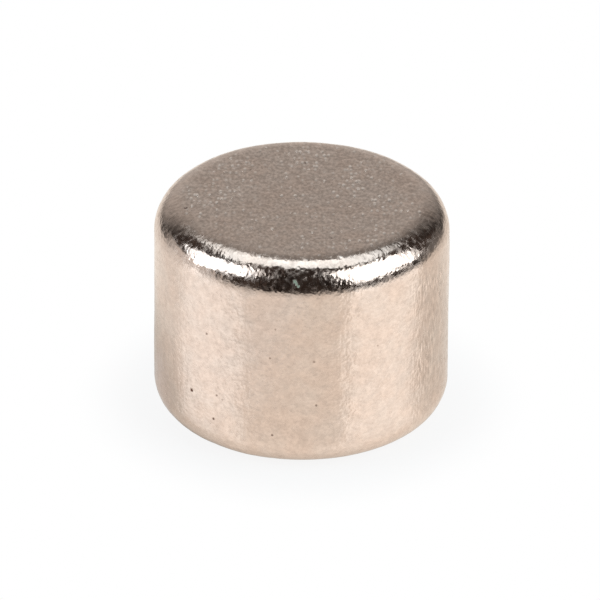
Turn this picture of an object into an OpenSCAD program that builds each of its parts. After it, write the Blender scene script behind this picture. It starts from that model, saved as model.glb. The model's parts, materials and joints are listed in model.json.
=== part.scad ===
// Disc magnet: a short solid cylinder of sintered metal under a thin bright plating.
// Both ends are flat pole faces, and both rims are rounded over.
// The origin is at the centre of the lower pole face, and the axis is +Z.

/* [Disc] */
// Diameter over the plated side
magnet_d = 4; // [2:0.1:12]
// Height from pole face to pole face
magnet_h = 3.1; // [1.2:0.1:10]
// Radius of the rounded rim at each end
rim_r = 0.45; // [0.1:0.05:0.5]

/* [Hidden] */
$fn = 128;
plating = [0.80, 0.73, 0.67];
magnet_r = magnet_d / 2;

// Section from the axis out to the side, with a true arc at each rim.
module half_section() {
    square([magnet_r - rim_r, magnet_h]);
    translate([0, rim_r])
        square([magnet_r, magnet_h - 2 * rim_r]);
    for (rim_z = [rim_r, magnet_h - rim_r])
        translate([magnet_r - rim_r, rim_z])
            circle(r = rim_r);
}

// The whole disc, turned about its axis.
module magnet() {
    color(plating)
        rotate_extrude()
            half_section();
}

magnet();
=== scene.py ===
import json
import math

import bpy
from mathutils import Matrix, Vector, noise


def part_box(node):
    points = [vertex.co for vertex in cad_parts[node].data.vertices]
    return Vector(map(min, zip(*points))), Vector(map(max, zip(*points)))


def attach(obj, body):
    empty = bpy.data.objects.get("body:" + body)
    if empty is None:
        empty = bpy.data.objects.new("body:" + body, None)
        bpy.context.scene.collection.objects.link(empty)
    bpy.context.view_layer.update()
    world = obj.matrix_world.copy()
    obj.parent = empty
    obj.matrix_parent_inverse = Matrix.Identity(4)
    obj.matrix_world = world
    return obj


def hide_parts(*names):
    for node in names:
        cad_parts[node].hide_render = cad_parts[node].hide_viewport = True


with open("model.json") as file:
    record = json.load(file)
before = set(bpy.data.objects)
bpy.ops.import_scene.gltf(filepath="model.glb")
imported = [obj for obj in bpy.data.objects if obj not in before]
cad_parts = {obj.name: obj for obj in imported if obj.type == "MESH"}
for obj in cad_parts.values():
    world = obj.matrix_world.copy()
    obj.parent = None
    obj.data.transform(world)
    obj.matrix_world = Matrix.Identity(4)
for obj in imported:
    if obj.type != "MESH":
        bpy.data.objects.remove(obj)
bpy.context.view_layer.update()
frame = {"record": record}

# ---------------------------------------------------------------- sizes, in metres

MM = 0.001
MICRON = 0.000001

disc_low, disc_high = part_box("magnet")
side_mount = next(m for m in frame["record"]["mounts"] if m["name"] == "side")

DISC_R = side_mount["dims"]["r_mm"] * MM
DISC_H = disc_high.z - disc_low.z
BASE_Z = disc_low.z
SIDE_LENGTH = side_mount["dims"]["length_mm"] * MM
RIM_R = (DISC_H - SIDE_LENGTH) / 2
FLAT_R = DISC_R - RIM_R
CENTRE = Vector((0, 0, BASE_Z + DISC_H / 2))

# Mesh steps round the disc and along its section.
SEGMENTS = 512
RIM_STEPS = 30
SIDE_STEPS = 84
FLAT_RINGS = 10

# Camera: it looks along +Y, with its elevation and roll in degrees.
CAMERA_ELEVATION = 28.8
CAMERA_ROLL = 0.43
CAMERA_DISTANCE = 75 * DISC_R
CAMERA_CLIP = (0.1 * CAMERA_DISTANCE, 10 * CAMERA_DISTANCE)
VIEW_WIDTH = 4.077 * DISC_R
SENSOR_WIDTH = 36.0
AIM_SIDEWAYS = -0.0102 * DISC_R

# Relief in the mesh: (size of the lumps, depth), from soft swells to fine waves. It starts
# where the flat faces end and is full after this share of the rim's rounding.
SWELL = (600 * MICRON, 8 * MICRON)
RIPPLE = (230 * MICRON, 4 * MICRON)
WAVES = (80 * MICRON, 2.5 * MICRON)
RELIEF_FULL_AT = 0.5

# Where the faces' finish gives way to that of the rims, from the edge of the flat.
FACE_FADE = (-0.05 * MM, 0.25 * MM)

# Finer relief in the material: sizes in metres, heights in microns. Where there are two
# heights, the first is for calm patches and the second for sandy ones.
GRAIN_LAY = (1, 0.6, 1)
COARSE_SIZE = 42 * MICRON
COARSE_ON_RIM = (1.5, 4.0)
COARSE_ON_FACE = (2.0, 4.0)
FINE_SIZE = 26 * MICRON
FINE_ON_RIM = 0.9
FINE_ON_FACE = 1.6
PATCH_SIZE = 450 * MICRON

# Bright specks of the pole faces, which glint from their bumps and carry a painted highlight in their
# colour: spacing, width as a share of it, height, painted highlight, and the share of places that have
# one, in calm and in sandy patches.
SPECK_LAY = (1, 0.55, 1)
SPECK_SPACING = 58 * MICRON
SPECK_WIDTH = 1.12
SPECK_HEIGHT = 7.2
SPECK_GLINT_PAINT = 2.4
SPECK_SHARE = (0.10, 0.46)
# Patches of the upper face with more specks: azimuth in degrees, radius and width in mm.
SPECK_PATCHES = [
    (-96, 1.24, 0.40),
    (-136, 1.30, 0.30),
    (178, 1.18, 0.42),
    (138, 1.18, 0.36),
    (128, 0.84, 0.26),
    (86, 1.22, 0.38),
]
SPECK_GAIN = 1.1
SPECK_PATCH_CORE = 0.4
# How the strength of strewn dots falls off: few are strong and many are faint.
DOT_RAREST = 0.01
DOT_FALL = -0.25

# Faint marks from tumbling: (width, length, depth in microns), and the share left on the faces.
FINE_STREAKS = (28 * MICRON, 200 * MICRON, 0.9)
BROAD_STREAKS = (85 * MICRON, 500 * MICRON, 2.4)
STREAKS_ON_FACE = 0.2

# A patch of the side scuffed upright: its middle and half widths in degrees, its fading ends
# by height in mm, how patchy it is, and how much painted shade darkens its grooves and painted highlight
# brightens its ridges.
SCUFF_WIDTH = 38 * MICRON
SCUFF_LENGTH = 120 * MICRON
SCUFF_DEPTH = 8.5
SCUFF_AZIMUTH = 63
SCUFF_HALF_WIDTHS = (17, 6)
SCUFF_FOOT = (0.2, 1.4)
SCUFF_FOOT_SHARE = 0.4
SCUFF_HEAD = (2.3, 2.7)
SCUFF_PATCHY = (0.35, 1.4)
SCUFF_PAINTED_SHADE = 0.9

# Colour of the plating and how it varies.
WARM_NICKEL = (0.758, 0.598, 0.500, 1)
PALE_NICKEL = (0.762, 0.624, 0.534, 1)
# Colour that the specks are lightened towards: a painted highlight.
PAINTED_GLINT_COLOUR = (1.0, 0.882, 0.785, 1)
EDGE_TINT = (1.0, 0.98, 0.955, 1)
PIT_BROWN = (0.12, 0.055, 0.035, 1)
HUE_SIZE = 360 * MICRON
HUE_DETAIL = 3.0
MOTTLE_SIZE = 42 * MICRON
MOTTLE_ON_FACE = 0.155
MOTTLE_ON_RIM = 0.045
BLOTCH_SIZE = 130 * MICRON
BLOTCH_DETAIL = 4.0
BLOTCH = 0.055
ROUGH = 0.12
DULL = 0.18
DULL_SIZE = 75 * MICRON

# Soft patches: the part of the noise's range that they use, and how rough they are.
CLOUD_NOISE = (0.3, 0.7)
CLOUD_ROUGHNESS = 0.55
# Shifts that keep one noise from repeating another.
FINE_SHIFT = (0.02, 0.01, 0)
BLOTCH_SHIFT = (0.01, 0, 0)
DULL_SHIFT = (0, 0.01, 0)

# Fine pores all over: spacing, width and share of places that have one, depth in microns.
PORE_SPACING = 130 * MICRON
PORE_WIDTH = 0.30
PORE_SHARE = 0.3
PORE_DEPTH = 1.4
PORE_SHADE = -0.12

# Larger pits: depth in microns; how ragged they are; their soft edge, as two shares of the width.
PIT_DEPTH = -3.0
PIT_RAGGED = 20 * MICRON
PIT_EDGE = (0.25, 0.6)
# Each pit: azimuth in degrees, height on the side or radius on the top in mm, width in
# microns, darkness.
SIDE_PITS = [
    (-47.5, 0.89, 58, 1.0),
    (-36, 0.60, 42, 0.85),
    (-34.5, 0.98, 34, 0.6),
    (-32, 0.94, 30, 0.4),
    (-11, 0.55, 38, 0.6),
    (6, 1.03, 36, 0.6),
    (-39.5, 1.87, 36, 0.6),
    (-12, 1.73, 36, 0.5),
    (-10, 2.18, 32, 0.45),
    (5, 1.70, 46, 0.45),
    (31, 1.80, 32, 0.4),
]
TOP_PITS = [
    (-80.5, 1.59, 54, 0.9),
    (178, 1.05, 40, 0.7),
    (20, 1.16, 34, 0.6),
    (-140, 1.10, 34, 0.5),
]

# A fleck of greenish dust on the front of the upper rim: places in mm, widths in microns.
DUST = [((-0.090, -1.930, 1.340), 62), ((-0.066, -1.946, 1.310), 46), ((-0.044, -1.960, 1.283), 46)]
DUST_GREEN = (0.35, 0.42, 0.32, 1)

# Studio: distances are many times the disc's size; directions are (azimuth, elevation).
STUDIO_R = 0.30
COOL = (0.90, 0.99, 1.06)
COOLER = (0.87, 0.99, 1.10)
COOLEST = (0.87, 1.0, 1.09)
# Softboxes at the sides: direction, size, radiance, tint, and turns by roll, yaw and pitch.
SIDE_SOFTBOXES = [
    ("left_softbox", (-77.5, 33.8), (0.278, 0.181), 2.4, COOLER, (34, 0, 0)),
    ("left_flap", (-43.5, 49.5), (0.035, 0.10), 1.1, COOL, (34, 0, 0)),
    ("right_softbox", (78.0, 37.3), (0.342, 0.259), 2.4, COOL, (-14.0, -28.4, 19.9)),
]
# Overhead softbox, turned some degrees about Z, with its narrower right end and its dimmer
# back corners: place, size, radiance.
OVERHEAD_MIDDLE = Vector((-0.012, 0.059, STUDIO_R))
OVERHEAD_TURN = -7
OVERHEAD = [
    ("overhead_softbox", (-0.0265, 0, 0), (0.283, 0.176), 1.40),
    ("overhead_right_end", (0.146, 0.016, 0), (0.062, 0.144), 1.40),
    ("overhead_left_corner", (-0.134, 0.123, 0), (0.160, 0.070), 0.85),
    ("overhead_right_corner", (0.138, 0.122, 0), (0.130, 0.060), 0.80),
]

# White wall behind the table: half widths in degrees; how much narrower it is at its foot,
# in degrees, up to which height; brightness between two heights. A height is the upward part
# of the direction.
WALL_AZIMUTH = -175
WALL_HALF_WIDTHS = (8, 58)
WALL_LEAN = 9
WALL_LEAN_TOP = 0.15
WALL_HEIGHTS = (0.24, 0.74)
WALL_BRIGHT = (0.54, 0.25)
WALL_TINT = (1.0, 0.982, 0.972)
# Pale cards low on the walls: azimuth, outer and inner half width in degrees, brightness.
CARDS = [(-94, 40, 10, 0.70), (118, 24, 8, 0.16)]
CARD_TOP = (0.15, 0.28)
# Dim things in the dark room, dimmest straight ahead: outer and inner half width in degrees.
DARK_ROOM = (0.050, 0.039, 0.034)
THINGS_SIZE = 0.25
THINGS_NOISE = (0.35, 0.65)
THINGS_BRIGHT = (0.5, 1.3)
AHEAD_AZIMUTH = 4
AHEAD_HALF_WIDTHS = (36, 12)
AHEAD_SHARE = 0.55

# White paper on the table, and how white the camera sees it near the disc and away from it.
FLOOR_R = 0.60
PAPER = (0.8, 0.8, 0.8, 1)
NEAR_WHITE = 0.88
NEAR_REACH = (1.0 * DISC_R, 1.6 * DISC_R)
# The paper as the metal mirrors it: a painted pool of light that glows, cooler on one side, under a thin
# gloss.
POOL_CENTRE = (-5 * DISC_R, 1.5 * DISC_R, 0)
POOL_REACH = (9 * DISC_R, 20 * DISC_R)
POOL_BRIGHT = (1.025, 0.2)
# Colours of the painted light of the pool: warm, and cooler towards one side.
WARM_POOL_LIGHT = (1.0, 0.968, 0.917, 1)
COOL_POOL_LIGHT = (1.0, 0.99, 0.97, 1)
COOL_AZIMUTH = -70
COOL_REACH = (0.8 * DISC_R, 2.0 * DISC_R)
GLOSS_IOR = 1.7
GLOSS_ROUGHNESS = 0.21
# Painted shadow round the foot of the disc, and painted soft shadows beside it: azimuth and shift of the
# middle, inner and outer radius, depth. Lengths are shares of the disc's radius.
PAINTED_FOOT_SHADOW = (0.80, 1.06, 0.38)
PAINTED_SHADOWS = [(-125, 0.8, 0.65, 1.72, 0.35), (103, 2.0, 0.6, 1.6, 0.15)]


# ---------------------------------------------------------------- directions and places


def direction(azimuth, elevation):
    """Unit vector to a place in the studio: azimuth 0 is the camera's side, 90 is +X; degrees."""
    a = math.radians(azimuth)
    e = math.radians(elevation)
    return Vector((math.sin(a) * math.cos(e), -math.cos(a) * math.cos(e), math.sin(e)))


def on_side(azimuth, height):
    """A place on the side, by its azimuth from the camera's side and its height."""
    return DISC_R * direction(azimuth, 0) + Vector((0, 0, BASE_Z + height))


def on_top(azimuth, radius):
    """A place on the upper pole face."""
    return radius * direction(azimuth, 0) + Vector((0, 0, BASE_Z + DISC_H))


# ---------------------------------------------------------------- node helpers


def add(tree, kind, name=None, **values):
    """A shader node with its settings and the values of its inputs."""
    made = tree.nodes.new(kind)
    if name:
        made.label = name
    for key, value in values.items():
        if key in made.inputs:
            made.inputs[key].default_value = value
        else:
            setattr(made, key, value)
    return made


def join(tree, source, target):
    tree.links.new(source, target)


def math_node(tree, operation, first, second=None, third=None, clamp=False):
    """A Math node fed by sockets or numbers; returns its output."""
    made = tree.nodes.new("ShaderNodeMath")
    made.operation = operation
    made.use_clamp = clamp
    for slot, value in enumerate((first, second, third)):
        if value is None:
            continue
        if isinstance(value, bpy.types.NodeSocket):
            join(tree, value, made.inputs[slot])
        else:
            made.inputs[slot].default_value = value
    return made.outputs[0]


def spread(tree, value, low, high, to_low=0.0, to_high=1.0, smooth=True):
    """A value taken from one range to another, with soft ends."""
    made = tree.nodes.new("ShaderNodeMapRange")
    made.interpolation_type = "SMOOTHSTEP" if smooth else "LINEAR"
    join(tree, value, made.inputs["Value"])
    made.inputs["From Min"].default_value = low
    made.inputs["From Max"].default_value = high
    made.inputs["To Min"].default_value = to_low
    made.inputs["To Max"].default_value = to_high
    return made.outputs["Result"]


def vector_node(tree, operation, first, second=None):
    """A Vector Math node fed by sockets or values; returns the output that the operation gives."""
    made = tree.nodes.new("ShaderNodeVectorMath")
    made.operation = operation
    for slot, value in ((0, first), (3 if operation == "SCALE" else 1, second)):
        if value is None:
            continue
        if isinstance(value, bpy.types.NodeSocket):
            join(tree, value, made.inputs[slot])
        else:
            made.inputs[slot].default_value = value
    return made.outputs["Value" if operation in ("DOT_PRODUCT", "LENGTH") else "Vector"]


def by_share(tree, share, limits):
    """A value between two limits, by a share from 0 to 1."""
    return spread(tree, share, 0.0, 1.0, *limits, smooth=False)


def level_part(tree, vector):
    """A vector without its upward part."""
    return vector_node(tree, "MULTIPLY", vector, (1, 1, 0))


def upward_part(tree, vector):
    """The upward part of a vector, as a number."""
    parts = tree.nodes.new("ShaderNodeSeparateXYZ")
    join(tree, vector, parts.inputs["Vector"])
    return parts.outputs["Z"]


def by_azimuth(tree, vector, azimuth, half_widths, outside=0.0, inside=1.0):
    """One value within some degrees of an azimuth and another beyond it, with a soft edge."""
    level = vector_node(tree, "NORMALIZE", level_part(tree, vector))
    beside = vector_node(tree, "DOT_PRODUCT", level, direction(azimuth, 0))
    outer, inner = (math.cos(math.radians(angle)) for angle in half_widths)
    return spread(tree, beside, outer, inner, outside, inside)


def mix_node(tree, share, first, second):
    """A Mix Shader node between two shader nodes."""
    made = tree.nodes.new("ShaderNodeMixShader")
    join(tree, share, made.inputs["Fac"])
    join(tree, first.outputs[0], made.inputs[1])
    join(tree, second.outputs[0], made.inputs[2])
    return made


def mix_colour(tree, share, first, second):
    """A colour between two, by a share from 0 to 1; each is a socket or a constant."""
    made = tree.nodes.new("ShaderNodeMix")
    made.data_type = "RGBA"
    join(tree, share, made.inputs["Factor"])
    colours = [socket for socket in made.inputs if socket.type == "RGBA"]
    for socket, value in zip(colours, (first, second)):
        if isinstance(value, bpy.types.NodeSocket):
            join(tree, value, socket)
        else:
            socket.default_value = value
    return next(socket for socket in made.outputs if socket.type == "RGBA")


def noise_node(tree, vector, size, detail=2.0, roughness=0.5):
    """Soft noise whose lumps are about the given size across."""
    made = tree.nodes.new("ShaderNodeTexNoise")
    made.inputs["Scale"].default_value = 1 / size
    made.inputs["Detail"].default_value = detail
    made.inputs["Roughness"].default_value = roughness
    join(tree, vector, made.inputs["Vector"])
    return made.outputs["Fac"]


def empty_material(name):
    """A new material with no nodes in it yet, and its node tree."""
    material = bpy.data.materials.new(name)
    material.use_nodes = True
    material.node_tree.nodes.clear()
    return material, material.node_tree


def new_group(name, inputs, outputs):
    """An empty shader node group: inputs are (name, kind, value), outputs are (name, kind)."""
    group = bpy.data.node_groups.new(name, "ShaderNodeTree")
    for label, kind, value in inputs:
        socket = group.interface.new_socket(label, in_out="INPUT", socket_type="NodeSocket" + kind)
        if value is not None:
            socket.default_value = value
    for label, kind in outputs:
        group.interface.new_socket(label, in_out="OUTPUT", socket_type="NodeSocket" + kind)
    source = group.nodes.new("NodeGroupInput")
    target = group.nodes.new("NodeGroupOutput")
    return group, source.outputs, target.inputs


def place_group(tree, group, **values):
    """A group placed in a material with its own values; underscores stand for spaces."""
    made = tree.nodes.new("ShaderNodeGroup")
    made.node_tree = group
    for key, value in values.items():
        socket = made.inputs[key.replace("_", " ")]
        if isinstance(value, bpy.types.NodeSocket):
            join(tree, value, socket)
        else:
            socket.default_value = value
    return made.outputs


# ---------------------------------------------------------------- finish


def sandy_grain_group():
    """Fine sandy relief of a tumbled and plated surface, about zero on the mean."""
    group, given, out = new_group(
        "sandy_grain",
        [("Vector", "Vector", None), ("Size", "Float", 30 * MICRON), ("Amount", "Float", 1.0)],
        [("Height", "Float")],
    )
    grain = add(group, "ShaderNodeTexNoise", Detail=0.0)
    join(group, vector_node(group, "MULTIPLY", given["Vector"], GRAIN_LAY), grain.inputs["Vector"])
    join(group, math_node(group, "DIVIDE", 1.0, given["Size"]), grain.inputs["Scale"])
    height = math_node(group, "SUBTRACT", grain.outputs["Fac"], 0.5)
    join(group, math_node(group, "MULTIPLY", height, given["Amount"]), out["Height"])
    return group


def drawn_streaks_group():
    """Faint marks that run along the side and on outwards over the rims."""
    group, given, out = new_group(
        "drawn_streaks",
        [
            ("Vector", "Vector", None),
            ("Width", "Float", 20 * MICRON),
            ("Length", "Float", 150 * MICRON),
            ("Amount", "Float", 1.0),
        ],
        [("Height", "Float")],
    )
    level = level_part(group, given["Vector"])
    round_way = vector_node(group, "SCALE", vector_node(group, "NORMALIZE", level), DISC_R)
    radius = vector_node(group, "LENGTH", level)
    along = math_node(group, "SUBTRACT", upward_part(group, given["Vector"]), radius)
    squeeze = math_node(group, "DIVIDE", given["Width"], given["Length"])
    squeezed = group.nodes.new("ShaderNodeCombineXYZ")
    join(group, math_node(group, "MULTIPLY", along, squeeze), squeezed.inputs["Z"])
    where = vector_node(group, "ADD", round_way, squeezed.outputs["Vector"])
    streaks = add(group, "ShaderNodeTexNoise", Detail=1.0)
    join(group, where, streaks.inputs["Vector"])
    join(group, math_node(group, "DIVIDE", 1.0, given["Width"]), streaks.inputs["Scale"])
    height = math_node(group, "SUBTRACT", streaks.outputs["Fac"], 0.5)
    join(group, math_node(group, "MULTIPLY", height, given["Amount"]), out["Height"])
    return group


def clouds_group():
    """Soft patches about one size across, from 0 to 1."""
    group, given, out = new_group(
        "clouds",
        [("Vector", "Vector", None), ("Size", "Float", 300 * MICRON), ("Detail", "Float", 2.0)],
        [("Value", "Float")],
    )
    cloud = add(group, "ShaderNodeTexNoise", Roughness=CLOUD_ROUGHNESS)
    join(group, given["Vector"], cloud.inputs["Vector"])
    join(group, given["Detail"], cloud.inputs["Detail"])
    join(group, math_node(group, "DIVIDE", 1.0, given["Size"]), cloud.inputs["Scale"])
    join(group, spread(group, cloud.outputs["Fac"], *CLOUD_NOISE), out["Value"])
    return group


def strewn_dots_group(dimensions):
    """Soft dots strewn over the surface, few strong and many faint: at most one in each cell."""
    group, given, out = new_group(
        "strewn_dots_" + dimensions,
        [
            ("Vector", "Vector", None),
            ("Spacing", "Float", 100 * MICRON),
            ("Width", "Float", 0.3),
            ("Share", "Float", 0.3),
        ],
        [("Mask", "Float")],
    )
    cells = add(group, "ShaderNodeTexVoronoi", voronoi_dimensions=dimensions, Randomness=1.0)
    join(group, given["Vector"], cells.inputs["Vector"])
    join(group, math_node(group, "DIVIDE", 1.0, given["Spacing"]), cells.inputs["Scale"])
    chance = group.nodes.new("ShaderNodeSeparateColor")
    join(group, cells.outputs["Color"], chance.inputs["Color"])
    near = group.nodes.new("ShaderNodeMapRange")
    near.interpolation_type = "SMOOTHSTEP"
    join(group, cells.outputs["Distance"], near.inputs["Value"])
    join(group, math_node(group, "MULTIPLY", given["Width"], 0.5), near.inputs["From Max"])
    near.inputs["To Min"].default_value = 1.0
    near.inputs["To Max"].default_value = 0.0
    drawn = math_node(group, "LESS_THAN", chance.outputs["Red"], given["Share"])
    rare = math_node(group, "MAXIMUM", chance.outputs["Green"], DOT_RAREST)
    strength = math_node(group, "MULTIPLY", math_node(group, "LOGARITHM", rare, math.e), DOT_FALL)
    mask = math_node(group, "MULTIPLY", near.outputs["Result"], drawn)
    join(group, math_node(group, "MULTIPLY", mask, strength), out["Mask"])
    return group


def pit_group():
    """One small pit with a soft, uneven edge."""
    group, given, out = new_group(
        "pit",
        [("Vector", "Vector", None), ("Place", "Vector", None), ("Width", "Float", 30 * MICRON)],
        [("Mask", "Float")],
    )
    away = vector_node(group, "LENGTH", vector_node(group, "SUBTRACT", given["Vector"], given["Place"]))
    uneven = noise_node(group, given["Vector"], PIT_RAGGED, 1.0)
    away = math_node(group, "MULTIPLY", away, math_node(group, "ADD", uneven, 0.5))
    share = math_node(group, "DIVIDE", away, given["Width"])
    join(group, spread(group, share, *PIT_EDGE, 1.0, 0.0), out["Mask"])
    return group


def speck_patches(tree, place):
    """How much the share of specks rises in the patches that have more of them."""
    total = 0.0
    for azimuth, radius, width in SPECK_PATCHES:
        away = vector_node(tree, "SUBTRACT", place, on_top(azimuth, radius * MM))
        away = vector_node(tree, "LENGTH", away)
        near = spread(tree, away, SPECK_PATCH_CORE * width * MM, width * MM, SPECK_GAIN, 0.0)
        total = math_node(tree, "MAXIMUM", near, total)
    return total


def speck_mask(tree, place, face, patch):
    """Bright specks of the pole faces, drawn out a little to the side; their colour carries a painted
    highlight.
    """
    share = math_node(tree, "ADD", by_share(tree, patch, SPECK_SHARE), speck_patches(tree, place))
    drawn = vector_node(tree, "MULTIPLY", place, SPECK_LAY)
    dots = strewn_dots_group("2D")
    specks = place_group(tree, dots, Vector=drawn, Spacing=SPECK_SPACING, Width=SPECK_WIDTH, Share=share)
    return math_node(tree, "MULTIPLY", specks["Mask"], face)


def pore_depth(tree, place):
    """Fine pores all over the disc, as a depth in microns."""
    dots = strewn_dots_group("3D")
    pores = place_group(
        tree, dots, Vector=place, Spacing=PORE_SPACING, Width=PORE_WIDTH, Share=PORE_SHARE
    )
    return math_node(tree, "MULTIPLY", pores["Mask"], PORE_DEPTH)


def pit_mask(tree, place, pit):
    """The larger pits, each in its own place."""
    spots = [(on_side(azimuth, height * MM), width, dark) for azimuth, height, width, dark in SIDE_PITS]
    spots += [(on_top(azimuth, radius * MM), width, dark) for azimuth, radius, width, dark in TOP_PITS]
    total = 0.0
    for spot, width, dark in spots:
        mask = place_group(tree, pit, Vector=place, Place=spot, Width=width * MICRON)["Mask"]
        total = math_node(tree, "MULTIPLY_ADD", mask, dark, total)
    return total


def dust_mask(tree, place, pit):
    """A short fleck of dust, head and tail."""
    total = 0.0
    for spot, width in DUST:
        where = MM * Vector(spot) + CENTRE
        mask = place_group(tree, pit, Vector=place, Place=where, Width=width * MICRON)["Mask"]
        total = math_node(tree, "MAXIMUM", mask, total)
    return total


def side_scuff(tree, place, patch, streaky):
    """Upright scuffed streaks on one part of the side, as a height in microns."""
    there = by_azimuth(tree, place, SCUFF_AZIMUTH, SCUFF_HALF_WIDTHS)
    height = upward_part(tree, place)
    foot = (BASE_Z + level * MM for level in SCUFF_FOOT)
    head = (BASE_Z + level * MM for level in SCUFF_HEAD)
    low = spread(tree, height, *foot, SCUFF_FOOT_SHARE, 1.0)
    high = spread(tree, height, *head, 1.0, 0.0)
    there = math_node(tree, "MULTIPLY", there, math_node(tree, "MULTIPLY", low, high))
    there = math_node(tree, "MULTIPLY", there, by_share(tree, patch, SCUFF_PATCHY))
    amount = math_node(tree, "MULTIPLY", there, SCUFF_DEPTH)
    streaks = place_group(
        tree, streaky, Vector=place, Width=SCUFF_WIDTH, Length=SCUFF_LENGTH, Amount=amount
    )
    return streaks["Height"]


def surface_marks(tree, place, clouds, streaky):
    """Where the pole faces lie, and the patches, specks, pores, pits, scuff and dust."""
    pit = pit_group()
    radius = vector_node(tree, "LENGTH", level_part(tree, place))
    face = spread(tree, radius, *(FLAT_R + fade for fade in FACE_FADE), 1.0, 0.0)
    patch = place_group(tree, clouds, Vector=place, Size=PATCH_SIZE, Detail=2.0)["Value"]
    return {
        "face": face,
        "patch": patch,
        "specks": speck_mask(tree, place, face, patch),
        "pores": pore_depth(tree, place),
        "pits": pit_mask(tree, place, pit),
        "scuff": side_scuff(tree, place, patch, streaky),
        "dust": dust_mask(tree, place, pit),
    }


def grain_height(tree, place, marks):
    """Coarse and fine sandy grain in microns: the coarse one is deeper in sandy patches."""
    sandy = sandy_grain_group()
    on_rim = by_share(tree, marks["patch"], COARSE_ON_RIM)
    more_on_face = by_share(tree, marks["patch"], [f - r for f, r in zip(COARSE_ON_FACE, COARSE_ON_RIM)])
    coarse_amount = math_node(tree, "MULTIPLY_ADD", marks["face"], more_on_face, on_rim)
    coarse = place_group(tree, sandy, Vector=place, Size=COARSE_SIZE, Amount=coarse_amount)
    fine_amount = by_share(tree, marks["face"], (FINE_ON_RIM, FINE_ON_FACE))
    moved = vector_node(tree, "ADD", place, FINE_SHIFT)
    fine = place_group(tree, sandy, Vector=moved, Size=FINE_SIZE, Amount=fine_amount)
    return math_node(tree, "ADD", coarse["Height"], fine["Height"])


def surface_height(tree, place, marks, streaky):
    """Height of all the fine relief in microns."""
    height = grain_height(tree, place, marks)
    for width, length, depth in (FINE_STREAKS, BROAD_STREAKS):
        keep = by_share(tree, marks["face"], (depth, STREAKS_ON_FACE * depth))
        streaks = place_group(tree, streaky, Vector=place, Width=width, Length=length, Amount=keep)
        height = math_node(tree, "ADD", height, streaks["Height"])
    height = math_node(tree, "MULTIPLY_ADD", marks["specks"], SPECK_HEIGHT, height)
    height = math_node(tree, "ADD", height, marks["scuff"])
    height = math_node(tree, "SUBTRACT", height, marks["pores"])
    return math_node(tree, "MULTIPLY_ADD", marks["pits"], PIT_DEPTH, height)


def surface_normal(tree, height):
    """The relief as a bump."""
    bump = add(tree, "ShaderNodeBump", Strength=1.0, Distance=MICRON)
    join(tree, height, bump.inputs["Height"])
    return bump.outputs["Normal"]


def surface_roughness(tree, place, clouds):
    """Bright metal with small duller patches."""
    moved = vector_node(tree, "ADD", place, DULL_SHIFT)
    dull = place_group(tree, clouds, Vector=moved, Size=DULL_SIZE, Detail=1.0)["Value"]
    return math_node(tree, "MULTIPLY_ADD", math_node(tree, "POWER", dull, 2.0), DULL, ROUGH)


def plating_shade(tree, place, clouds, marks):
    """Fine mottling, soft blotches and darker pores, about 1 on the mean."""
    drawn = vector_node(tree, "MULTIPLY", place, GRAIN_LAY)
    mottle = place_group(tree, clouds, Vector=drawn, Size=MOTTLE_SIZE, Detail=1.0)["Value"]
    mottle = by_share(tree, mottle, (-1.0, 1.0))
    depth = by_share(tree, marks["face"], (MOTTLE_ON_RIM, MOTTLE_ON_FACE))
    shade = math_node(tree, "MULTIPLY_ADD", mottle, depth, 1.0)
    moved = vector_node(tree, "ADD", place, BLOTCH_SHIFT)
    blotch = place_group(tree, clouds, Vector=moved, Size=BLOTCH_SIZE, Detail=BLOTCH_DETAIL)["Value"]
    shade = math_node(tree, "MULTIPLY", shade, by_share(tree, blotch, (1 - BLOTCH, 1 + BLOTCH)))
    return math_node(tree, "MULTIPLY_ADD", marks["pores"], PORE_SHADE, shade)


def plating_colour(tree, place, clouds, marks):
    """Warm and less saturated patches of nickel, with the specks lightened as a painted highlight, the
    pits, the scuffed streaks with painted shade and highlight, and the dust.
    """
    hue = place_group(tree, clouds, Vector=place, Size=HUE_SIZE, Detail=HUE_DETAIL)["Value"]
    colour = mix_colour(tree, hue, WARM_NICKEL, PALE_NICKEL)
    colour = vector_node(tree, "SCALE", colour, plating_shade(tree, place, clouds, marks))
    # The specks lightened towards a painted highlight, over the real glints of their bumps.
    glint_paint = math_node(tree, "MULTIPLY", marks["specks"], SPECK_GLINT_PAINT, clamp=True)
    colour = mix_colour(tree, glint_paint, colour, PAINTED_GLINT_COLOUR)
    colour = mix_colour(tree, marks["pits"], colour, PIT_BROWN)
    # Painted shade in the scuff's grooves and painted highlight on its ridges, following its height.
    scuff_painted_light = math_node(tree, "MULTIPLY_ADD", marks["scuff"], SCUFF_PAINTED_SHADE / SCUFF_DEPTH, 1.0)
    colour = vector_node(tree, "SCALE", colour, scuff_painted_light)
    return mix_colour(tree, marks["dust"], colour, DUST_GREEN)


def nickel_material():
    """Bright nickel: sandy on the pole faces, finer and brighter over the rims and the side."""
    material, tree = empty_material("nickel_plating")
    place = tree.nodes.new("ShaderNodeTexCoord").outputs["Object"]
    clouds = clouds_group()
    streaky = drawn_streaks_group()
    marks = surface_marks(tree, place, clouds, streaky)
    height = surface_height(tree, place, marks, streaky)

    shader = tree.nodes.new("ShaderNodeBsdfPrincipled")
    shader.inputs["Specular Tint"].default_value = EDGE_TINT
    join(tree, plating_colour(tree, place, clouds, marks), shader.inputs["Base Color"])
    join(tree, math_node(tree, "SUBTRACT", 1.0, marks["dust"]), shader.inputs["Metallic"])
    join(tree, surface_roughness(tree, place, clouds), shader.inputs["Roughness"])
    join(tree, surface_normal(tree, height), shader.inputs["Normal"])
    target = tree.nodes.new("ShaderNodeOutputMaterial")
    join(tree, shader.outputs["BSDF"], target.inputs["Surface"])
    return material


# ---------------------------------------------------------------- the disc


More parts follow.
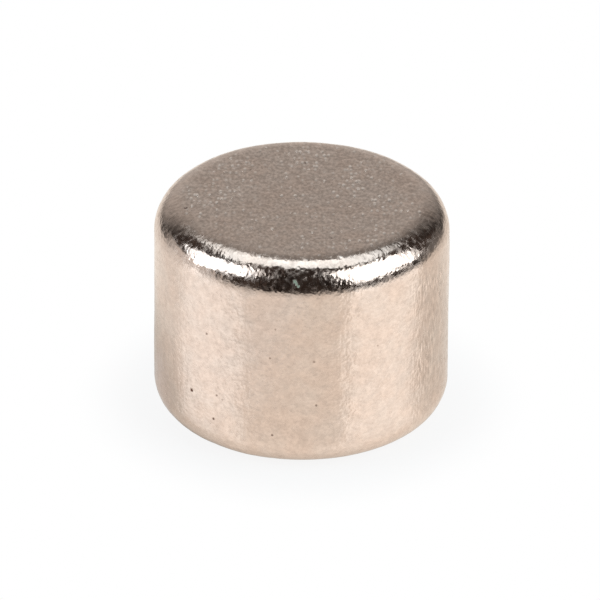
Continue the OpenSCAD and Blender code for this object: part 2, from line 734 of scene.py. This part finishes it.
def half_section():
    """Points (radius, height) from the lower centre round to the upper centre."""
    lower = [(FLAT_R * i / FLAT_RINGS, 0.0) for i in range(1, FLAT_RINGS)]
    arc = [math.pi / 2 * i / RIM_STEPS for i in range(RIM_STEPS + 1)]
    lower += [(FLAT_R + RIM_R * math.sin(a), RIM_R - RIM_R * math.cos(a)) for a in arc]
    side = [(DISC_R, RIM_R + SIDE_LENGTH * i / SIDE_STEPS) for i in range(1, SIDE_STEPS)]
    upper = [(radius, DISC_H - height) for radius, height in reversed(lower)]
    return lower + side + upper


def sink(point):
    """How far the tumbled surface lies below the true form at a point: none on the flat faces."""
    past_flat = math.hypot(point.x, point.y) - FLAT_R
    worn = min(1.0, max(0.0, past_flat / (RELIEF_FULL_AT * RIM_R)))
    return worn * sum(0.5 * depth * noise.noise(point / size) for size, depth in (SWELL, RIPPLE, WAVES))


def outward(radius, height):
    """Radial and upward parts of the section's outward direction."""
    across = max(radius - FLAT_R, 0.0)
    up = max(height - (DISC_H - RIM_R), 0.0) - max(RIM_R - height, 0.0)
    length = math.hypot(across, up)
    return across / length, up / length


def turned_mesh(name, section):
    """The section turned about Z, sunk a few microns in places, and closed at each centre."""
    verts = [Vector((0, 0, BASE_Z))]
    for radius, height in section:
        across, up = outward(radius, height)
        for i in range(SEGMENTS):
            angle = 2 * math.pi * i / SEGMENTS
            ray = Vector((math.cos(angle), math.sin(angle), 0))
            point = radius * ray + Vector((0, 0, BASE_Z + height))
            verts.append(point - sink(point) * (across * ray + Vector((0, 0, up))))
    verts.append(Vector((0, 0, BASE_Z + DISC_H)))

    faces = []
    last_ring = 1 + (len(section) - 1) * SEGMENTS
    for i in range(SEGMENTS):
        j = (i + 1) % SEGMENTS
        faces.append((0, 1 + j, 1 + i))
        faces.append((len(verts) - 1, last_ring + i, last_ring + j))
        for ring in range(1, last_ring, SEGMENTS):
            faces.append((ring + i, ring + j, ring + SEGMENTS + j, ring + SEGMENTS + i))
    mesh = bpy.data.meshes.new(name)
    mesh.from_pydata(verts, [], faces)
    mesh.validate()
    mesh.shade_smooth()
    return mesh


def disc_piece():
    """The visual disc, which stands in for the CAD node."""
    piece = bpy.data.objects.new("plated_disc", turned_mesh("plated_disc", half_section()))
    bpy.context.scene.collection.objects.link(piece)
    piece.data.materials.append(nickel_material())
    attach(piece, "root")
    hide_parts("magnet")
    return piece


# ---------------------------------------------------------------- studio


def softbox(name, place, size, radiance, tint, turns=(0, 0, 0)):
    """A rectangular lamp that faces the disc, with its brightness given as radiance."""
    lamp = bpy.data.lights.new(name, "AREA")
    lamp.shape = "RECTANGLE"
    lamp.size, lamp.size_y = size
    lamp.energy = radiance * math.pi * size[0] * size[1]
    lamp.color = tint
    shown = bpy.data.objects.new(name, lamp)
    shown.location = CENTRE + place
    shown.rotation_euler = (-place).to_track_quat("-Z", "Y").to_euler()
    for axis, turn in zip("ZYX", turns):
        shown.rotation_euler.rotate_axis(axis, math.radians(turn))
    shown.visible_camera = False
    bpy.context.scene.collection.objects.link(shown)
    return shown


def make_lamps():
    """The softboxes at the sides, and the overhead one in its four parts."""
    for name, way, size, radiance, tint, turns in SIDE_SOFTBOXES:
        softbox(name, STUDIO_R * direction(*way), size, radiance, tint, turns)
    turn = Matrix.Rotation(math.radians(OVERHEAD_TURN), 3, "Z")
    for name, place, size, radiance in OVERHEAD:
        overhead = softbox(name, OVERHEAD_MIDDLE + turn @ Vector(place), size, radiance, COOLEST)
        overhead.rotation_euler = turn.to_euler()


def white_wall(tree, way, height):
    """Brightness of the wall behind the table: full in its middle, narrower at its foot."""
    level = vector_node(tree, "NORMALIZE", level_part(tree, way))
    turned = vector_node(tree, "DOT_PRODUCT", level, direction(WALL_AZIMUTH, 0))
    turned = math_node(tree, "ARCCOSINE", turned)
    lean = spread(tree, height, 0.0, WALL_LEAN_TOP, math.radians(WALL_LEAN), 0.0)
    turned = math_node(tree, "ADD", turned, lean)
    across = spread(tree, turned, *(math.radians(angle) for angle in WALL_HALF_WIDTHS), 1.0, 0.0)
    upwards = spread(tree, height, *WALL_HEIGHTS, *WALL_BRIGHT, smooth=False)
    return math_node(tree, "MULTIPLY", upwards, across)


def dim_room(tree, way):
    """Dim things in the rest of the room."""
    things = noise_node(tree, way, THINGS_SIZE, 2.0)
    things = spread(tree, things, *THINGS_NOISE, *THINGS_BRIGHT)
    darkest = by_azimuth(tree, way, AHEAD_AZIMUTH, AHEAD_HALF_WIDTHS, 1.0, AHEAD_SHARE)
    things = math_node(tree, "MULTIPLY", things, darkest)
    return vector_node(tree, "SCALE", DARK_ROOM, things)


def studio_wall_group():
    """Brightness of the room round the table, by the direction in which it is seen."""
    group, given, out = new_group("studio_wall", [("Vector", "Vector", None)], [("Color", "Color")])
    way = vector_node(group, "NORMALIZE", given["Vector"])
    height = upward_part(group, way)
    bright = white_wall(group, way, height)
    low_down = spread(group, height, *CARD_TOP, 1.0, 0.0)
    for azimuth, outer, inner, brightness in CARDS:
        card = by_azimuth(group, way, azimuth, (outer, inner), 0.0, brightness)
        card = math_node(group, "MULTIPLY", card, low_down)
        bright = math_node(group, "MAXIMUM", bright, card)
    walls = vector_node(group, "SCALE", WALL_TINT, bright)
    join(group, vector_node(group, "MAXIMUM", walls, dim_room(group, way)), out["Color"])
    return group


def painted_paper_shadows(tree, place):
    """How much painted shadow darkens the paper near the disc, as the metal sees it."""
    inner, outer, depth = PAINTED_FOOT_SHADOW
    reach = vector_node(tree, "LENGTH", place)
    total = spread(tree, reach, inner * DISC_R, outer * DISC_R, depth, 0.0)
    for azimuth, shift, inner, outer, depth in PAINTED_SHADOWS:
        middle = shift * DISC_R * direction(azimuth, 0)
        away = vector_node(tree, "LENGTH", vector_node(tree, "SUBTRACT", place, middle))
        shadow = spread(tree, away, inner * DISC_R, outer * DISC_R, depth, 0.0)
        total = math_node(tree, "ADD", total, shadow)
    return total


def painted_paper_light(tree, place, wall_group):
    """The painted light of the paper as the metal mirrors it: a glowing pool with painted shadows, and
    beyond it the wall.
    """
    away = vector_node(tree, "LENGTH", vector_node(tree, "SUBTRACT", place, POOL_CENTRE))
    pool = spread(tree, away, *POOL_REACH, *POOL_BRIGHT)
    shadow = painted_paper_shadows(tree, place)
    pool = math_node(tree, "MULTIPLY", pool, math_node(tree, "SUBTRACT", 1.0, shadow))
    sideways = vector_node(tree, "DOT_PRODUCT", place, direction(COOL_AZIMUTH, 0))
    cool = spread(tree, sideways, *COOL_REACH)
    tint = mix_colour(tree, cool, WARM_POOL_LIGHT, COOL_POOL_LIGHT)
    wall = place_group(tree, wall_group, Vector=place)["Color"]
    return vector_node(tree, "MAXIMUM", vector_node(tree, "SCALE", tint, pool), wall)


def seen_paper(tree, place, camera_ray):
    """Plain paper, white to the camera but for a faint shadow near the disc."""
    paper = add(tree, "ShaderNodeBsdfDiffuse", Color=PAPER)
    white = add(tree, "ShaderNodeEmission", Color=(1, 1, 1, 1), Strength=1.0)
    reach = vector_node(tree, "LENGTH", place)
    lift = spread(tree, reach, *NEAR_REACH, NEAR_WHITE, 1.0)
    return mix_node(tree, math_node(tree, "MULTIPLY", camera_ray, lift), paper, white)


def mirrored_paper(tree, place, wall_group):
    """The paper under its thin gloss, which only the metal shows: a painted glow of light and shadow."""
    # The paper's painted light: a glow with its pool and painted shadows, not lit by the lamps.
    glow = add(tree, "ShaderNodeEmission", Strength=1.0)
    join(tree, painted_paper_light(tree, place, wall_group), glow.inputs["Color"])
    gloss = add(tree, "ShaderNodeBsdfGlossy", Color=(1, 1, 1, 1), Roughness=GLOSS_ROUGHNESS)
    fresnel = add(tree, "ShaderNodeFresnel", IOR=GLOSS_IOR)
    return mix_node(tree, fresnel.outputs["Fac"], glow, gloss)


def floor_material(wall_group):
    """White paper, which the camera and the metal see each in its own way: to the metal it is a painted
    glow.
    """
    material, tree = empty_material("white_paper")
    path = tree.nodes.new("ShaderNodeLightPath").outputs
    place = tree.nodes.new("ShaderNodeTexCoord").outputs["Object"]
    shown = seen_paper(tree, place, path["Is Camera Ray"])
    mirrored = mirrored_paper(tree, place, wall_group)
    by_metal = math_node(tree, "MAXIMUM", path["Is Glossy Ray"], path["Is Transmission Ray"])
    both = mix_node(tree, by_metal, shown, mirrored)
    target = tree.nodes.new("ShaderNodeOutputMaterial")
    join(tree, both.outputs["Shader"], target.inputs["Surface"])
    return material


def make_floor(wall_group):
    """A sheet of white paper that the disc stands on."""
    mesh = bpy.data.meshes.new("floor")
    corners = [(-FLOOR_R, -FLOOR_R), (FLOOR_R, -FLOOR_R), (FLOOR_R, FLOOR_R), (-FLOOR_R, FLOOR_R)]
    mesh.from_pydata([(x, y, BASE_Z) for x, y in corners], [], [(0, 1, 2, 3)])
    floor = bpy.data.objects.new("floor", mesh)
    bpy.context.scene.collection.objects.link(floor)
    mesh.materials.append(floor_material(wall_group))


def make_world(wall_group):
    """White to the camera, and the dim studio to everything else."""
    world = bpy.data.worlds.new("studio")
    bpy.context.scene.world = world
    world.use_nodes = True
    tree = world.node_tree
    tree.nodes.clear()
    way = tree.nodes.new("ShaderNodeTexCoord").outputs["Generated"]
    wall = place_group(tree, wall_group, Vector=way)["Color"]
    path = tree.nodes.new("ShaderNodeLightPath").outputs
    background = add(tree, "ShaderNodeBackground", Strength=1.0)
    seen = vector_node(tree, "SCALE", (1, 1, 1), path["Is Camera Ray"])
    join(tree, vector_node(tree, "MAXIMUM", wall, seen), background.inputs["Color"])
    target = tree.nodes.new("ShaderNodeOutputWorld")
    join(tree, background.outputs["Background"], target.inputs["Surface"])


def make_camera():
    """A long lens that frames the disc from the front and above."""
    lens = bpy.data.cameras.new("camera")
    lens.sensor_width = SENSOR_WIDTH
    lens.lens = SENSOR_WIDTH * CAMERA_DISTANCE / VIEW_WIDTH
    lens.clip_start, lens.clip_end = CAMERA_CLIP
    camera = bpy.data.objects.new("camera", lens)
    back = direction(0, CAMERA_ELEVATION)
    roll = Matrix.Rotation(math.radians(CAMERA_ROLL), 3, "Z")
    camera.rotation_euler = ((-back).to_track_quat("-Z", "Y").to_matrix() @ roll).to_euler()
    camera.location = CENTRE + back * CAMERA_DISTANCE + Vector((AIM_SIDEWAYS, 0, 0))
    bpy.context.scene.collection.objects.link(camera)
    bpy.context.scene.camera = camera


make_camera()
disc_piece()
make_lamps()
wall_group = studio_wall_group()
make_floor(wall_group)
make_world(wall_group)
bpy.context.scene.view_settings.view_transform = "Standard"
